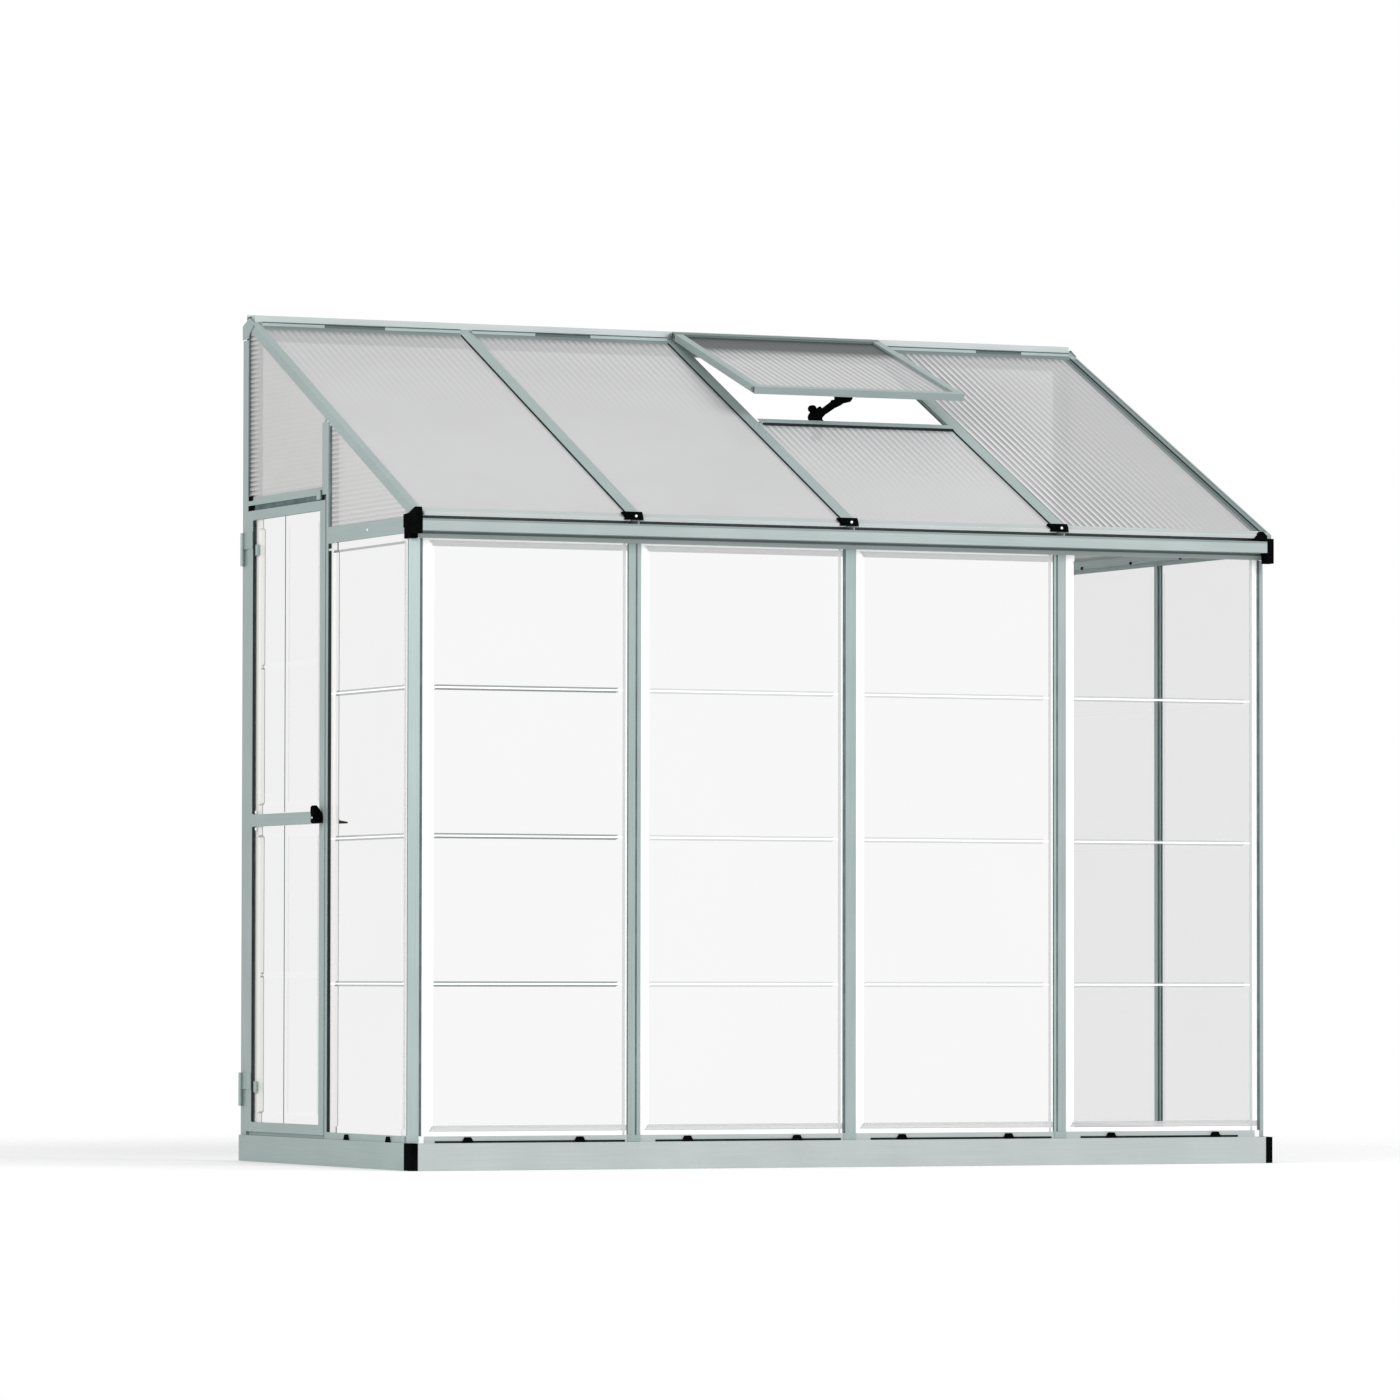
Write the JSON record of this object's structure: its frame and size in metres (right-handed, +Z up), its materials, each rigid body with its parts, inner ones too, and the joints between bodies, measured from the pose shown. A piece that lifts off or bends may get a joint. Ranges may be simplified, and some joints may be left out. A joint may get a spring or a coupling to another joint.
{
  "type": "lean-to greenhouse",
  "caption": "Lean-to greenhouse with a glazed aluminium frame on a low base, a side door, a sloping translucent roof and a hinged roof vent, made to stand against a wall.",
  "frame": {"origin": "centre of the bounding box's floor: the middle of the plan, at ground level", "axes": "+X along the front wall from the door end to the far end, +Y from the front towards the house wall, +Z up"},
  "size_m": [2.559, 1.267, 2.322],
  "materials": {
    "aluminium": "satin, clear anodised",
    "black_plastic": "moulded, fine texture",
    "clear_pane": "clear polycarbonate sheet, pressed",
    "twin_pane": "translucent twin-wall polycarbonate"
  },
  "bodies": {
    "root": {"base_front": "aluminium", "base_left": "aluminium", "base_right": "aluminium", "base_corner_left": "black_plastic", "base_corner_right": "black_plastic", "corner_post_left": "aluminium", "corner_post_right": "aluminium", "front_mullion_1": "aluminium", "front_mullion_2": "aluminium", "front_mullion_3": "aluminium", "front_panel_1": "clear_pane", "front_panel_2": "clear_pane", "front_panel_3": "clear_pane", "front_panel_4": "clear_pane", "eaves_gutter": "aluminium", "gutter_cap_left": "black_plastic", "gutter_cap_right": "black_plastic", "wall_post_left": "aluminium", "wall_post_right": "aluminium", "door_jamb": "aluminium", "door_header": "aluminium", "side_beam_left": "aluminium", "side_beam_right": "aluminium", "side_panel_left": "clear_pane", "side_mullion_right": "aluminium", "side_panel_right_front": "clear_pane", "side_panel_right_rear": "clear_pane", "gable_panel_left_front": "twin_pane", "gable_panel_left_rear": "twin_pane", "gable_panel_right": "twin_pane", "rafter_1": "aluminium", "rafter_2": "aluminium", "rafter_3": "aluminium", "rafter_4": "aluminium", "rafter_5": "aluminium", "ridge_bar": "aluminium", "roof_panel_1": "twin_pane", "roof_panel_2": "twin_pane", "roof_panel_3": "twin_pane", "roof_panel_4": "twin_pane", "vent_sill": "aluminium", "rafter_clip_1": "black_plastic", "rafter_clip_2": "black_plastic", "rafter_clip_3": "black_plastic", "hinge_lower": "aluminium", "hinge_upper": "aluminium"},
    "door": {"door_stile_hinge": "aluminium", "door_stile_latch": "aluminium", "door_rail_top": "aluminium", "door_rail_middle": "aluminium", "door_rail_bottom": "aluminium", "door_panel_lower": "clear_pane", "door_panel_upper": "clear_pane"},
    "latch": {"door_handle": "black_plastic"},
    "vent": {"vent_hinge_rail": "aluminium", "vent_rail_left": "aluminium", "vent_rail_right": "aluminium", "vent_rail_bottom": "aluminium", "vent_pane": "twin_pane"},
    "stay": {"vent_stay": "black_plastic"}
  },
  "joints": [
    {"name": "door_swing", "type": "hinge", "parent": "root", "child": "door", "pos_m": [-1.2575, 0.6175, 0.081], "axis": [0, 0, -1], "range_deg": [0, 88]},
    {"name": "door_latch", "type": "hinge", "parent": "door", "child": "latch", "pos_m": [-1.2555, 0.0355, 0.93], "axis": [1, 0, 0], "range_deg": [0, 90]},
    {"name": "vent_tilt", "type": "hinge", "parent": "root", "child": "vent", "pos_m": [0, 0.569, 2.30789], "axis": [-1, 0, 0], "range_deg": [-7, 3]},
    {"name": "stay_swing", "type": "hinge", "parent": "root", "child": "stay", "pos_m": [0.2145, 0.04853, 1.99148], "axis": [0, -1, 0], "range_deg": [-49, 21]}
  ],
  "couplings": [
    {"joint": "stay_swing", "follows": "vent_tilt", "ratio": 7}
  ]
}
